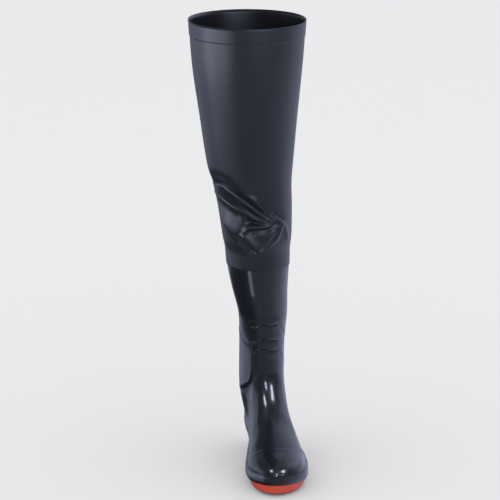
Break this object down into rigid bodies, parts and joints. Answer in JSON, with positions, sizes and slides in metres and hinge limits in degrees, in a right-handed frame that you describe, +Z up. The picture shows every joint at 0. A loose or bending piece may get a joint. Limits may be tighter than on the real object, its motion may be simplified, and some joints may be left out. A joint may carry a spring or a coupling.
{
  "type": "hip wader",
  "caption": "Left hip wader: glossy black moulded boot on an orange-red sole, with a coated fabric leg welded round its collar, open at the top.",
  "frame": {"origin": "on the floor under the middle of the heel", "axes": "+Z up along the leg, -Y towards the toe, -X towards the inner side of the foot"},
  "size_m": [0.2042, 0.3445, 0.79],
  "materials": {
    "sole_pvc": "orange-red moulded PVC, satin",
    "boot_pvc": "black moulded PVC, glossy, faintly blue",
    "felt": "grey felt",
    "leg_fabric": "black fabric with a smooth PVC coating, soft sheen"
  },
  "bodies": {
    "root": {"outsole": "sole_pvc", "boot": "boot_pvc", "insole": "felt", "leg": "leg_fabric"}
  },
  "joints": []
}
